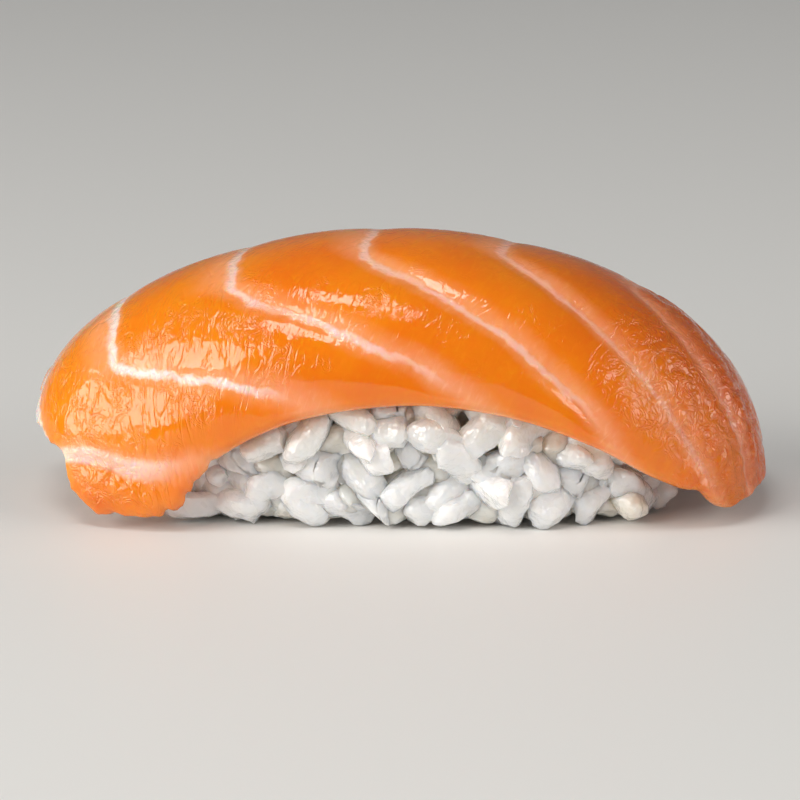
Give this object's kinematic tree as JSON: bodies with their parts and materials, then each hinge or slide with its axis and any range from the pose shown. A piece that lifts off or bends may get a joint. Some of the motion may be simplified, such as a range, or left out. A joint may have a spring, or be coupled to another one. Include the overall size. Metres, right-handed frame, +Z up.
{
  "type": "salmon nigiri",
  "caption": "Salmon nigiri: an oblong bed of pressed sushi rice under a thick slice of raw salmon that drapes over it and hangs down at both ends.",
  "frame": {"origin": "centre of the bounding box in plan, on the flat face that the rice bed rests on", "axes": "+X along the length, towards the end where the slice tapers down to the floor; +Y towards the back; +Z up"},
  "size_m": [0.0699, 0.0289, 0.0262],
  "materials": {
    "raw_salmon": "wet, slightly translucent orange flesh with pale lines of fat",
    "cooked_rice": "moist, milky translucent white grains"
  },
  "bodies": {
    "root": {"salmon_slice": "raw_salmon", "rice_bed": "cooked_rice"}
  },
  "joints": []
}
